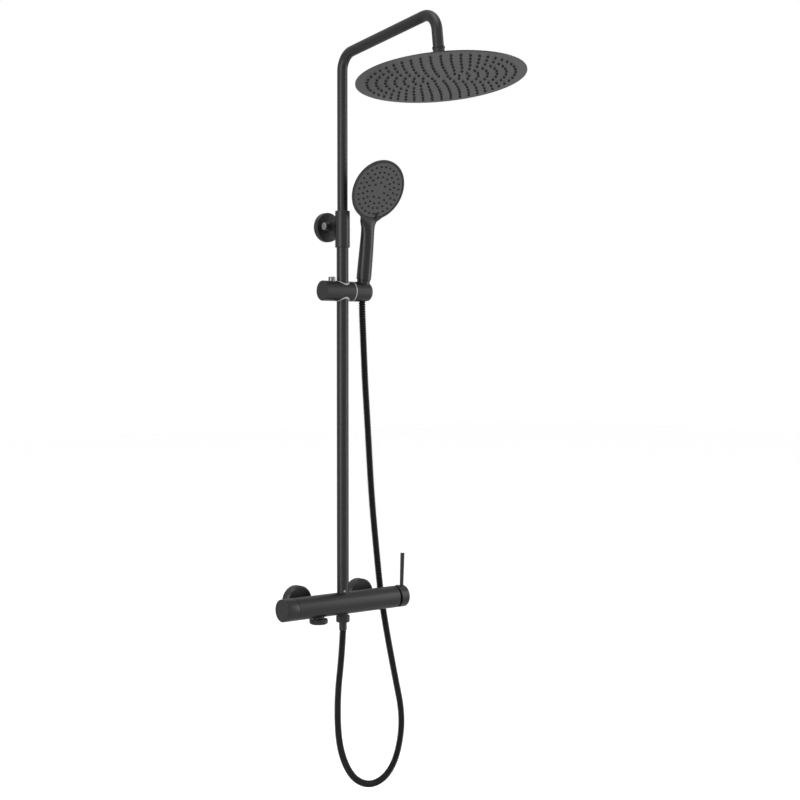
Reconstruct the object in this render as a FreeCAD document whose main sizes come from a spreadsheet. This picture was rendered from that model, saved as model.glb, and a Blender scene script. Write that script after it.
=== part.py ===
import FreeCAD, Part
import math
import os
import re

import Sketcher
from FreeCAD import Placement, Rotation, Vector

# Rainfall shower column: exposed bar mixer, telescopic riser with overhead arm, rain head, slider,
# handset and hose. Millimetres. The origin lies midway between the two wall inlets on the wall's
# face; +X runs right along the wall, -Y into the room and +Z up.

# A size that starts with = follows the sizes above it.
SIZES = {
    # where the main axes lie
    "inlet_spacing": 150,       # hot inlet to cold inlet
    "union_offset": 6,          # the eccentric unions hold the bar this far below the wall inlets
    # wall inlets
    "pipe_thread_radius": 10.48,    # G 1/2, outside
    "union_thread_radius": 13.22,   # G 3/4, outside
    "wall_thread_length": 16,
    "union_bore": 8,
    "union_front": 23,          # wall to the union's sealing face
    "washer_thickness": 2,
    "rosette_radius": 30,
    "rosette_face_radius": 27,
    "rosette_shoulder": 14,
    "rosette_depth": 18,
    "rosette_bore": 20,
    "sheet_wall": 1.2,
    "nut_flats": 30,
    "nut_back": 31.5,           # wall to the union nut's front end
    # bar mixer
    "bar_radius": 21.5,
    "wall_distance": "=nut_back + bar_radius + 2",      # wall to the bar's axis and the riser's axis
    "bar_left": 115.5,
    "bar_right": 127,
    "end_cap_length": 28,
    "chamber_radius": 18.2,
    "cartridge_radius": 17.5,
    "cartridge_start": 90,
    "cartridge_length": 27,
    "spindle_radius": 9.95,
    "stem_side": 8,
    "stem_pivot": 113,          # the lever tilts about this place on the bar's axis
    "dome_radius": 22.9,
    "cap_gap_top": 3,           # gap between bar and lever cap, at the top
    "cap_gap_bottom": 7.5,      # the same gap at the bottom, which closes as the lever is pulled out
    "cap_end": 151.6,
    "cap_bore": 18.9,
    "cap_rounding": 3,
    "lever_place": 146,
    "lever_foot_radius": 3.6,
    "lever_tip_radius": 4.1,
    "lever_foot": 17.5,
    "lever_tip": 85.5,
    "lever_lean": 2,            # degrees outwards
    "running_gap": 0.05,
    # diverter
    "diverter_place": -58,
    "spool_radius": 7.4,
    "knob_radius": 17.7,
    "knob_top": "=bar_radius + 2.5",        # below the bar's axis
    "knob_height": 10,
    # riser
    "lower_tube_radius": 11.5,
    "upper_tube_radius": "=lower_tube_radius - 1.5",
    "lower_tube_wall": 1.3,
    "upper_tube_wall": 1.2,
    "tube_foot": 16,            # the lower tube's foot, above the bar's axis
    "tube_top": 745,
    "collar_foot": 688,
    "collar_length": 70,
    "collar_radius": "=lower_tube_radius + 2.7",
    "upper_tube_foot": 495,
    # wall bracket
    "bracket_height": 729.5,
    "flange_radius": 28.5,
    "flange_depth": 10,
    "plate_thickness": 4,
    "plate_radius": 24,
    "fixing_spacing": 30,
    "fixing_hole_radius": 2.6,
    "bracket_stem_radius": 6,
    "barrel_distance": 28,      # wall to the cross barrel's axis
    "barrel_radius": 7.7,
    "barrel_length": 48,
    "lug_width": 24,
    # overhead arm
    "arm_height": 1055,         # where the arm's axis crosses the riser's, above the bar
    "arm_length": 279,
    "arm_rise": 7.5,            # degrees
    "arm_bend_radius": 34,
    "drop_tube": 66,            # arm's axis to the drop's open end
    "ball_drop": 98,            # arm's axis to the swivel ball's centre
    "head_drop": 123.3,         # arm's axis to the head's face
    # rain head
    "ball_radius": 9,
    "seat_radius": 11,
    "head_radius": 152.5,
    "head_sheet": 0.8,
    "head_depth": 2.4,
    "head_ring_count": 8,
    "head_ring_pitch": 16.5,
    "head_ring_turn": 34,       # degrees
    "head_ring_swirl": 1,       # degrees more for each ring outwards
    "head_nozzle_radius": 1.5,
    "nozzle_proud": 1,
    # slider
    "slider_height": 604,
    "slider_setback": 2,        # its cross axis lies this far behind the riser's axis
    "slider_radius": 19.35,
    "slider_left": 44,
    "slider_cap": 3,
    "slider_right": "=lower_tube_radius + 10",
    "liner_radius": "=lower_tube_radius + 2",
    "liner_proud": 0.5,
    "button_place": -24,
    "button_radius": 6.7,
    "button_top": 27,
    "tilt_ring_width": 2,
    "cradle_end": 64.5,
    "cradle_rounding": 8,
    "cradle_spindle_radius": 7,
    "cradle_spindle_reach": 6,
    # handset
    "handset_place": 50,
    "handset_tilt": 8.5,        # degrees forward of upright
    "handle_foot": 23.4,
    "handle_foot_radius": 14.4,
    "handle_waist_radius": 13.4,
    "face_height": 198.4,
    "face_forward": 21.9,
    "face_tilt": 16,            # degrees, the face looks down by this from the handle's normal
    "face_radius": 60,
    "rim_width": 4,
    "rim_depth": 3,
    "head_back": 22,
    "face_nozzle_radius": 1.1,
    "selector_turn": 12.7,      # degrees right of the face's lowest point
    "cone_foot": 17,
    "cone_foot_radius": 10.2,
    "cone_top_radius": 12.8,
    "fit_gap": 0.3,
    # hose
    "hose_radius": 6.5,
    "hose_nut_flats": 23,
    "hose_nut_top": "=bar_radius + 1.5",
    "hose_nut_foot": "=hose_nut_top + 13.5",
    "ferrule_radius": 7.4,
    "ferrule_length": 15.5,
}

# The hose's route as points chosen by hand, measured from the bar's axis. It drops from the bar's
# outlet, turns in one loop, climbs behind the bar and bends forward into the cradle. Each length
# starts where the one before it ends, and its first point, at the outlet, follows the ferrule.
HOSE_ROUTE = {
    "hose_loop": [
        (0, 0, -52.6), (-3, 0, -100), (-12.5, 2, -182), (-8, 5.5, -266), (11, 9, -320),
        (41, 13, -358), (85, 18.5, -376), (131, 25, -365), (162, 30, -325), (177, 34.5, -254),
        (157, 37, -164), (137.5, 37.5, -77), (122, 37.5, 2), (110.5, 36, 88), (99.5, 34, 170),
        (92, 32, 240), (86.5, 30, 300), (83.15, 28.6, 332.5)],
    "hose_upper": [
        (83.15, 28.6, 332.5), (79.8, 27.2, 365), (72.5, 23.5, 425), (66, 18.5, 475),
        (59.143, 12.429, 520)],
    "hose_swing": [(59.143, 12.429, 520), (56.4, 10, 538), (54, 7.8, 552)],
    "hose_top": [(54, 7.8, 552), (51.6, 5.6, 566), (50.1, 3.8, 586)],
}

doc = FreeCAD.newDocument("shower_column")
sheet = doc.addObject("Spreadsheet::Sheet", "Sizes")
for row, (size_name, number) in enumerate(SIZES.items(), start=1):
    sheet.set(f"A{row}", size_name)
    sheet.set(f"B{row}", str(number))
    sheet.setAlias(f"B{row}", size_name)
doc.recompute()

SIZE_WORD = re.compile(r"\b(" + "|".join(SIZES) + r")\b")
NODES = []

# places that many pieces share, as expressions on the sheet
AXIS_Y = "(-wall_distance)"
BAR_Z = "(-union_offset)"
NOZZLE_END = "(union_front + washer_thickness)"
CAP_REAR = "(bar_right + cap_gap_top)"
SLIDER_Y = "(slider_setback - wall_distance)"
SLIDER_Z = "(slider_height - union_offset)"
BRACKET_Z = "(bracket_height - union_offset)"
CRADLE_START = "(slider_right + tilt_ring_width)"
HEAD_FACE = "(ball_drop - head_drop)"
HEAD_BACK = "(ball_drop - head_drop + head_depth)"


def bound(expression):
    """The expression with every size's name in the form that the document reads."""
    return SIZE_WORD.sub(r"Sizes.\1", str(expression))


def value(expression):
    return float(sheet.evalExpression(bound(expression)))


def vector(x, y, z):
    return Vector(value(x), value(y), value(z))


# which way a piece's own Z axis points
TURNS = {
    "up": Rotation(),
    "down": Rotation(Vector(1, 0, 0), 180),
    "right": Rotation(Vector(0, 1, 0), 90),
    "left": Rotation(Vector(0, 1, 0), -90),
    "wall": Rotation(Vector(1, 0, 0), -90),
    "room": Rotation(Vector(1, 0, 0), 90),
}


def place(item, at, turn="up"):
    """Puts an item at a place bound to the sheet; turn is a word above or a rotation."""
    rotation = TURNS[turn] if isinstance(turn, str) else turn
    item.Placement = Placement(vector(*at), rotation)
    for letter, expression in zip("xyz", at):
        item.setExpression("Placement.Base." + letter, bound(expression))
    return item


def carry(item, frame):
    """Moves a piece that was modelled about its own centre into the frame of what carries it."""
    for letter in "xyz":
        item.setExpression("Placement.Base." + letter, None)
    item.Placement = frame.multiply(item.Placement)
    return item


def cylinder(name, radius, length, at=(0, 0, 0), turn="up"):
    item = doc.addObject("Part::Cylinder", name)
    item.setExpression("Radius", bound(radius))
    item.setExpression("Height", bound(length))
    return place(item, at, turn)


def cone(name, radius, end_radius, length, at=(0, 0, 0), turn="up"):
    item = doc.addObject("Part::Cone", name)
    item.setExpression("Radius1", bound(radius))
    item.setExpression("Radius2", bound(end_radius))
    item.setExpression("Height", bound(length))
    return place(item, at, turn)


def ball(name, radius, at=(0, 0, 0)):
    item = doc.addObject("Part::Sphere", name)
    item.setExpression("Radius", bound(radius))
    return place(item, at)


def block(name, size, at, turn="up"):
    item = doc.addObject("Part::Box", name)
    for side, expression in zip(("Length", "Width", "Height"), size):
        item.setExpression(side, bound(expression))
    return place(item, at, turn)


def hexagon(name, flats, length, at, turn="up"):
    item = doc.addObject("Part::Prism", name)
    item.Polygon = 6
    item.setExpression("Circumradius", bound(f"({flats}) / 2 / cos(30)"))
    item.setExpression("Height", bound(length))
    return place(item, at, turn)


def torus(name, radius, thickness, at, turn="up"):
    item = doc.addObject("Part::Torus", name)
    item.setExpression("Radius1", bound(radius))
    item.setExpression("Radius2", bound(thickness))
    return place(item, at, turn)


def fuse(name, *items):
    item = doc.addObject("Part::MultiFuse", name)
    item.Shapes = list(items)
    return item


def cut(name, base, *tools):
    item = doc.addObject("Part::Cut", name)
    item.Base = base
    item.Tool = tools[0] if len(tools) == 1 else fuse(name + "_tools", *tools)
    return item


def common(name, base, tool):
    item = doc.addObject("Part::Common", name)
    item.Base = base
    item.Tool = tool
    return item


def group(name, *items):
    """Like pieces kept together as separate solids."""
    item = doc.addObject("Part::Compound", name)
    item.Links = list(items)
    return item


def own_plane(body, role):
    return next(f for f in body.Origin.OriginFeatures if f.Role == role)


def outline_sketch(body, name, plane, corners):
    """A closed outline of straight sides, each corner bound to the sheet."""
    sketch = body.newObject("Sketcher::SketchObject", name)
    sketch.AttachmentSupport = [(own_plane(body, plane), "")]
    sketch.MapMode = "FlatFace"
    points = [Vector(value(across), value(along), 0) for across, along in corners]
    count = len(points)
    for index, point in enumerate(points):
        sketch.addGeometry(Part.LineSegment(point, points[(index + 1) % count]), False)
    for index in range(count):
        sketch.addConstraint(Sketcher.Constraint("Coincident", index, 2, (index + 1) % count, 1))
    for index, corner in enumerate(corners):
        for kind, axis, expression in zip(("DistanceX", "DistanceY"), (-2, -1), corner):
            if expression == 0:
                sketch.addConstraint(Sketcher.Constraint("PointOnObject", index, 1, axis))
                continue
            number = sketch.addConstraint(
                Sketcher.Constraint(kind, -1, 1, index, 1, value(expression)))
            sketch.setExpression(f"Constraints[{number}]", bound(expression))
    return sketch


def turned(name, corners, at=(0, 0, 0), turn="up"):
    """A turned body: corners are (radius, height) along its own Z axis."""
    body = doc.addObject("PartDesign::Body", name)
    sketch = outline_sketch(body, name + "_profile", "XZ_Plane", corners)
    spin = body.newObject("PartDesign::Revolution", name + "_turning")
    spin.Profile = (sketch, [""])
    spin.ReferenceAxis = (sketch, ["V_Axis"])
    spin.Angle = 360
    return place(body, at, turn)


def padded(name, plane, corners, width, at=(0, 0, 0)):
    """A flat outline padded to both sides of its plane."""
    body = doc.addObject("PartDesign::Body", name)
    sketch = outline_sketch(body, name + "_profile", plane, corners)
    pad = body.newObject("PartDesign::Pad", name + "_pad")
    pad.Profile = (sketch, [""])
    pad.setExpression("Length", bound(width))
    pad.Midplane = True
    return place(body, at)


def rounded(name, base, radius, wanted):
    """Rounds the edges of base for which wanted(edge) is true."""
    doc.recompute()
    item = doc.addObject("Part::Fillet", name)
    item.Base = base
    item.Edges = [(number, value(radius), value(radius))
                  for number, edge in enumerate(base.Shape.Edges, start=1) if wanted(edge)]
    return item


def shaped(name, shape, placement=Placement()):
    """A piece whose shape is worked out in code from the sheet's sizes."""
    item = doc.addObject("Part::Feature", name)
    item.Shape = shape
    item.Placement = placement
    return item


def node(item, label):
    item.Label = label
    NODES.append(item)
    return item


def tube_along(points, arcs, radius, inner=0):
    """A round tube along a path of edges; points is the path's start and direction."""
    start, direction = points
    path = Part.Wire(arcs)

    def swept(size):
        ring = Part.Wire(Part.makeCircle(size, start, direction))
        return path.makePipeShell([ring], True, False)

    outer = swept(radius)
    return outer.cut(swept(inner)) if inner else outer


# ---------------------------------------------------------------- wall inlets


def build_inlets():
    unions, nuts, rosettes, washers, valves = [], [], [], [], []
    for side, word in ((-1, "left"), (1, "right")):
        x = f"({side} * inlet_spacing / 2)"
        tail = cylinder(f"union_tail_{word}", "pipe_thread_radius",
                        "wall_thread_length + rosette_shoulder", (x, "wall_thread_length", 0), "room")
        seat = cylinder(f"union_seat_{word}", "rosette_bore - running_gap",
                        "rosette_depth - rosette_shoulder + 2", (x, "2 - rosette_shoulder", 0), "room")
        thread = cylinder(f"union_thread_{word}", "union_thread_radius",
                          "union_front - rosette_shoulder", (x, "-rosette_shoulder", BAR_Z), "room")
        tail_bore = cylinder(f"union_tail_bore_{word}", "union_bore",
                             "wall_thread_length + rosette_depth", (x, "wall_thread_length + 1", 0),
                             "room")
        front_bore = cylinder(f"union_front_bore_{word}", "union_bore + 1",
                              "union_front - rosette_shoulder + 3",
                              (x, "2 - rosette_shoulder", BAR_Z), "room")
        unions.append(cut(f"union_{word}", fuse(f"union_blank_{word}", tail, seat, thread),
                          tail_bore, front_bore))
        rosettes.append(turned(f"rosette_{word}", [
            ("rosette_radius", 0), ("rosette_radius", "rosette_shoulder"),
            ("rosette_face_radius", "rosette_depth"), ("rosette_bore", "rosette_depth"),
            ("rosette_bore", "rosette_depth - sheet_wall"),
            ("rosette_face_radius - sheet_wall", "rosette_depth - sheet_wall"),
            ("rosette_radius - sheet_wall", "rosette_shoulder - sheet_wall / 2"),
            ("rosette_radius - sheet_wall", 0)], (x, 0, 0), "room"))
        washers.append(cut(
            f"washer_{word}",
            cylinder(f"washer_blank_{word}", "union_thread_radius - 0.7", "washer_thickness",
                     (x, "-union_front", BAR_Z), "room"),
            cylinder(f"washer_hole_{word}", "union_bore + 0.5", "washer_thickness + 2",
                     (x, "1 - union_front", BAR_Z), "room")))
        nut_start = "(rosette_depth + 0.5)"
        nut_blank = hexagon(f"nut_blank_{word}", "nut_flats", f"nut_back - {nut_start}",
                            (x, f"-{nut_start}", BAR_Z), "room")
        nut_thread = cylinder(f"nut_thread_{word}", "union_thread_radius + running_gap",
                              f"{NOZZLE_END} + 3 - {nut_start} + 1 + running_gap",
                              (x, f"1 - {nut_start}", BAR_Z), "room")
        nut_neck = cylinder(f"nut_neck_{word}", "union_thread_radius - 2.5", "nut_back",
                            (x, f"-{nut_start}", BAR_Z), "room")
        nuts.append(cut(f"nut_{word}", nut_blank, nut_thread, nut_neck))
        valves.append(turned(f"check_valve_{word}", [
            (2.5, 0), ("union_bore - 0.6", 0), ("union_bore - 0.6", 10), (5, 12), (2.5, 12)],
            (x, f"-{NOZZLE_END}", BAR_Z), "room"))
    node(group("inlet_unions", *unions), "inlet_unions")
    node(group("union_nuts", *nuts), "union_nuts")
    node(group("wall_rosettes", *rosettes), "wall_rosettes")
    node(group("union_washers", *washers), "union_washers")
    node(group("check_valves", *valves), "check_valves")


# ---------------------------------------------------------------- bar mixer


def build_bar():
    """The brass body: bored bar, two inlet nozzles, outlets up and down, and the diverter's port."""
    metal = [cylinder("bar_blank", "bar_radius", "bar_left + bar_right",
                      ("-bar_left", AXIS_Y, BAR_Z), "right"),
             cylinder("hose_nozzle", "pipe_thread_radius - 0.3", "hose_nut_foot - 5.5",
                      (0, AXIS_Y, BAR_Z), "down"),
             cylinder("diverter_boss", 11, "knob_top - 1", ("diverter_place", AXIS_Y, BAR_Z), "down")]
    bores = [cylinder("cartridge_chamber", "chamber_radius", "bar_right - cartridge_start + 1",
                      ("cartridge_start", AXIS_Y, BAR_Z), "right"),
             cylinder("left_chamber", 17, 18, ("-bar_left - 1", AXIS_Y, BAR_Z), "right"),
             cylinder("mixed_gallery", 4, "cartridge_start - diverter_place + 1",
                      ("diverter_place", AXIS_Y, BAR_Z), "right"),
             cylinder("riser_gallery", 3.5, "-diverter_place",
                      ("diverter_place", AXIS_Y, f"{BAR_Z} + 9"), "right"),
             cylinder("hose_gallery", 3.5, "-diverter_place",
                      ("diverter_place", AXIS_Y, f"{BAR_Z} - 9"), "right"),
             cylinder("riser_port", 8, "bar_radius", (0, AXIS_Y, f"{BAR_Z} + 7.5"), "up"),
             cylinder("riser_pocket", "lower_tube_radius + running_gap", "bar_radius",
                      (0, AXIS_Y, f"{BAR_Z} + tube_foot"), "up"),
             cylinder("hose_port", 6.5, "hose_nut_foot", (0, AXIS_Y, f"{BAR_Z} - 7.5"), "down"),
             cylinder("spool_bore", "spool_radius + running_gap", "bar_radius + 22",
                      ("diverter_place", AXIS_Y, f"{BAR_Z} + 13"), "down"),
             cylinder("bonnet_bore", 9, 12, ("diverter_place", AXIS_Y, f"{BAR_Z} - 16.4"), "down"),
             cylinder("cold_feed", 3.5, "cartridge_start - inlet_spacing / 2 + 1",
                      ("inlet_spacing / 2", "8 - wall_distance", f"{BAR_Z} - 3"), "right"),
             cylinder("hot_feed", 3.5, "cartridge_start + inlet_spacing / 2 + 5",
                      ("-inlet_spacing / 2 - 4", "12 - wall_distance", f"{BAR_Z} + 12"), "right"),
             cylinder("hot_riser", 3.2, 12,
                      ("-inlet_spacing / 2 + 1", "11 - wall_distance", f"{BAR_Z} + 1"), "up")]
    for side, word in ((-1, "left"), (1, "right")):
        x = f"({side} * inlet_spacing / 2)"
        metal.append(cylinder(f"nozzle_neck_{word}", "union_thread_radius - 3.2",
                              f"wall_distance - {NOZZLE_END}", (x, AXIS_Y, BAR_Z), "wall"))
        metal.append(cylinder(f"nozzle_collar_{word}", "union_thread_radius - running_gap", 3,
                              (x, f"-{NOZZLE_END}", BAR_Z), "room"))
        bores.append(cylinder(f"nozzle_bore_{word}", "union_bore - 0.5",
                              f"wall_distance - {NOZZLE_END} - 6",
                              (x, f"1 - {NOZZLE_END}", BAR_Z), "room"))
    node(cut("valve_body_bored", fuse("valve_body_blank", *metal), *bores), "valve_body")

    cap = turned("end_cap_turned", [
        (0, 0), ("bar_radius - 1", 0), ("bar_radius", 1), ("bar_radius", "end_cap_length"),
        (16.95, "end_cap_length"), (16.95, "end_cap_length + 10"), (13, "end_cap_length + 10"),
        (13, 3), (0, 3)], ("-bar_left - end_cap_length", AXIS_Y, BAR_Z), "right")
    node(cap, "bar_end_cap")


def build_cartridge():
    """The ceramic cartridge, its nut and dome, and the parts of it that turn or tilt."""
    axis = (AXIS_Y, BAR_Z)
    housing = turned("cartridge_housing", [
        (3, 0), ("cartridge_radius", 0), ("cartridge_radius", "cartridge_length"),
        ("spindle_radius + running_gap", "cartridge_length"), ("spindle_radius + running_gap", 17),
        (14, 17), (14, 10), (3, 10)], ("cartridge_start", *axis), "right")
    node(housing, "cartridge_body")
    disc = turned("ceramic_disc_turned", [(2, 0), (13.5, 0), (13.5, 3.8), (2, 3.8)],
                  ("cartridge_start + 10.1", *axis), "right")
    node(disc, "ceramic_disc")

    spindle = turned("spindle_turned", [
        (0, 0), (13.6, 0), (13.6, 2.7), ("spindle_radius", 2.7), ("spindle_radius", 12.8), (0, 12.8)],
        ("cartridge_start + 14.1", *axis), "right")
    slot = block("spindle_slot", (30, "stem_side + 2 * running_gap", "stem_side + 3.4"), (
        "stem_pivot - 6", "-wall_distance - stem_side / 2 - running_gap",
        f"{BAR_Z} - stem_side / 2 - 1.7"))
    pin_hole = cylinder("spindle_pin_hole", 1.55, 20, ("stem_pivot", "-wall_distance - 10", BAR_Z),
                        "wall")
    node(cut("spindle_cut", spindle, slot, pin_hole), "cartridge_spindle")
    pin = cylinder("stem_pin_rod", 1.5, 18.6, ("stem_pivot", "-wall_distance - 9.3", BAR_Z), "wall")
    node(pin, "stem_pin")
    stem = block("stem_bar", ("cap_end - 6 - stem_pivot + 5", "stem_side", "stem_side"),
                 ("stem_pivot - 5", "-wall_distance - stem_side / 2", f"{BAR_Z} - stem_side / 2"))
    stem_hole = cylinder("stem_pin_hole", 1.56, 20, ("stem_pivot", "-wall_distance - 10", BAR_Z), "wall")
    node(cut("stem_drilled", stem, stem_hole), "cartridge_stem")

    nut_start = "(cartridge_start + cartridge_length)"
    nut = turned("cartridge_nut_turned", [
        (12.5, 0), ("chamber_radius - running_gap", 0), ("chamber_radius - running_gap", 6),
        (12.5, 6)], (nut_start, *axis), "right")
    node(nut, "cartridge_nut")
    zone = common("dome_zone", ball("dome_ball", "dome_radius", ("stem_pivot", *axis)),
                  cylinder("dome_band", 30, 6, ("bar_right", *axis), "right"))
    skirt = cylinder("dome_skirt", "chamber_radius - running_gap", f"bar_right - {nut_start} - 6.2",
                     (f"{nut_start} + 6.2", *axis), "right")
    opening = cylinder("dome_opening", 11, 30, (nut_start, *axis), "right")
    node(cut("dome_opened", fuse("dome_blank", zone, skirt), opening), "cartridge_dome")


def build_lever():
    """The lever cap with its slanted rear rim, the pin, the index and the grub screw."""
    axis = (AXIS_Y, BAR_Z)
    blank = cylinder("cap_blank", "bar_radius", f"cap_end - {CAP_REAR}", (CAP_REAR, *axis), "right")
    round_cap = rounded("cap_rounded", blank, "cap_rounding",
                        lambda edge: edge.BoundBox.XMin > value("cap_end - 0.1"))
    hollow = cylinder("cap_hollow", "cap_bore", f"cap_end - {CAP_REAR} - 5",
                      (f"{CAP_REAR} - 1", *axis), "right")
    socket = cylinder("cap_socket", 8, f"cap_end - 4 - {CAP_REAR} - 10", (f"{CAP_REAR} + 10", *axis),
                      "right")
    stem_hole = block("cap_stem_hole", ("cap_end - 6 - bar_right", "stem_side", "stem_side"),
                      ("bar_right", "-wall_distance - stem_side / 2", f"{BAR_Z} - stem_side / 2"))
    rear_lean = math.degrees(math.atan2(value("cap_gap_bottom - cap_gap_top"), value("2 * bar_radius")))
    rear = block("cap_rear_cut", (40, "2 * bar_radius + 20", "2 * bar_radius + 40"), (
        f"{CAP_REAR} - 40 * cos({rear_lean}) + (2 * bar_radius + 20) * sin({rear_lean})",
        "-wall_distance - bar_radius - 10",
        f"{BAR_Z} + bar_radius - 40 * sin({rear_lean}) - (2 * bar_radius + 20) * cos({rear_lean})"),
        Rotation(Vector(0, 1, 0), -rear_lean))
    lean = Rotation(Vector(0, 1, 0), value("lever_lean"))
    pin_hole = cylinder("cap_pin_hole", "lever_foot_radius + 0.15", 20,
                        ("lever_place", AXIS_Y, f"{BAR_Z} + lever_foot - 0.1"), lean)
    index_hole = cylinder("cap_index_hole", 3.25, 8,
                          (f"{CAP_REAR} + 5.5", AXIS_Y, f"{BAR_Z} + bar_radius - 1.3"))
    screw_hole = cylinder("cap_screw_hole", 2.05, "bar_radius",
                          ("lever_place - 3", AXIS_Y, f"{BAR_Z} - 4"), "down")
    shell = cut("cap_shell", round_cap, hollow)
    solid = fuse("cap_with_socket", shell, socket)
    node(cut("cap_finished", solid, stem_hole, rear, pin_hole, index_hole, screw_hole), "lever_cap")
    pin = cone("lever_pin_rod", "lever_foot_radius", "lever_tip_radius", "lever_tip - lever_foot",
               ("lever_place", AXIS_Y, f"{BAR_Z} + lever_foot"), lean)
    node(pin, "lever_pin")
    node(cylinder("index_plug", 3.2, 2.2, (f"{CAP_REAR} + 5.5", AXIS_Y, f"{BAR_Z} + bar_radius - 1.2")),
         "lever_index")
    node(cylinder("lever_grub", 2, "bar_radius - stem_side / 2 - 1",
                  ("lever_place - 3", AXIS_Y, f"{BAR_Z} - stem_side / 2"), "down"), "lever_grub_screw")


def build_diverter():
    """The two-way diverter under the bar: spool, bonnet, scalloped knob and its screw."""
    x = "diverter_place"
    spool = turned("spool_turned", [
        (0, -31), (4, -31), (4, -16.2), ("spool_radius", -16.2), ("spool_radius", 12.5), (0, 12.5)],
        (x, AXIS_Y, BAR_Z))
    bore = cylinder("spool_bore_up", 3.4, 22, (x, AXIS_Y, f"{BAR_Z} - 3"), "up")
    ports = [cylinder("spool_port_mid", 3.4, 10, (x, AXIS_Y, BAR_Z), "right"),
             cylinder("spool_port_top", 3.2, 10, (x, AXIS_Y, f"{BAR_Z} + 8.8"), "right"),
             cylinder("spool_screw_hole", 2.05, 12, (x, AXIS_Y, f"{BAR_Z} - 20"), "down")]
    node(cut("spool_ported", spool, bore, *ports), "diverter_spindle")
    bonnet = turned("bonnet_turned", [
        ("4 + running_gap", 0), (8.95, 0), (8.95, "knob_top - 1 - 16.6"),
        ("4 + running_gap", "knob_top - 1 - 16.6")], (x, AXIS_Y, f"{BAR_Z} - knob_top + 1"))
    node(bonnet, "diverter_bonnet")
    blank = turned("knob_turned", [
        ("4.05", 0), ("knob_radius - 1", 0), ("knob_radius", 1), ("knob_radius", "knob_height - 2"),
        ("knob_radius - 3", "knob_height"), (6, "knob_height"), (6, "knob_height - 2"),
        (2.2, "knob_height - 2"), (2.2, "knob_height - 3"), ("4.05", "knob_height - 3")],
        (x, AXIS_Y, f"{BAR_Z} - knob_top"), "down")
    notches = []
    for index in range(6):
        angle = math.radians(30 + 60 * index)
        notches.append(cylinder(f"knob_notch_{index}", 4, "knob_height + 4", (
            f"{x} + (knob_radius + 1.6) * {math.cos(angle):.6f}",
            f"-wall_distance + (knob_radius + 1.6) * {math.sin(angle):.6f}",
            f"{BAR_Z} - knob_top - knob_height - 2")))
    node(cut("knob_scalloped", blank, *notches), "diverter_knob")
    screw = fuse("diverter_screw_blank",
                 cylinder("diverter_screw_head", 4, 1.8,
                          (x, AXIS_Y, f"{BAR_Z} - knob_top - knob_height + 0.2")),
                 cylinder("diverter_screw_shank", 2, 9,
                          (x, AXIS_Y, f"{BAR_Z} - knob_top - knob_height + 2")))
    node(screw, "diverter_screw")


# ---------------------------------------------------------------- riser, bracket and arm


def build_riser():
    foot = f"{BAR_Z} + tube_foot"
    inner = "(lower_tube_radius - lower_tube_wall)"
    spigot = turned("spigot_turned", [
        (5.5, -8), (7.95, -8), (7.95, 0), (f"{inner} - 0.3", 0), (f"{inner} - 0.3", 14),
        (f"{inner} - 1.6", 14), (f"{inner} - 1.6", 16.2), (f"{inner} - 0.3", 16.2),
        (f"{inner} - 0.3", 20), (f"{inner} - 1.6", 20), (f"{inner} - 1.6", 22.2),
        (f"{inner} - 0.3", 22.2), (f"{inner} - 0.3", 25), (f"{inner} - 1.3", 26), (5.5, 26)],
        (0, AXIS_Y, foot))
    node(spigot, "riser_spigot")
    rings = [torus(f"spigot_ring_{index}", f"{inner} - 0.8", 0.75, (0, AXIS_Y, f"{foot} + {height}"))
             for index, height in enumerate((15.1, 21.1))]
    node(group("spigot_rings", *rings), "spigot_orings")

    tube = turned("lower_tube_turned", [
        (inner, 0), ("lower_tube_radius", 0), ("lower_tube_radius", "tube_top - tube_foot"),
        (inner, "tube_top - tube_foot")], (0, AXIS_Y, foot))
    toward = Rotation(Vector(0, 0, 1), -20) * TURNS["room"]
    screw_at = (f"(lower_tube_radius - 1.45) * -{math.sin(math.radians(20)):.6f}",
                f"-wall_distance - (lower_tube_radius - 1.45) * {math.cos(math.radians(20)):.6f}",
                f"{foot} + 9")
    node(cut("lower_tube_drilled", tube, cylinder("riser_screw_hole", 2.05, 6, screw_at, toward)),
         "lower_riser_tube")
    return cylinder("riser_grub", 2, 1.7, screw_at, toward)


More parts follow.
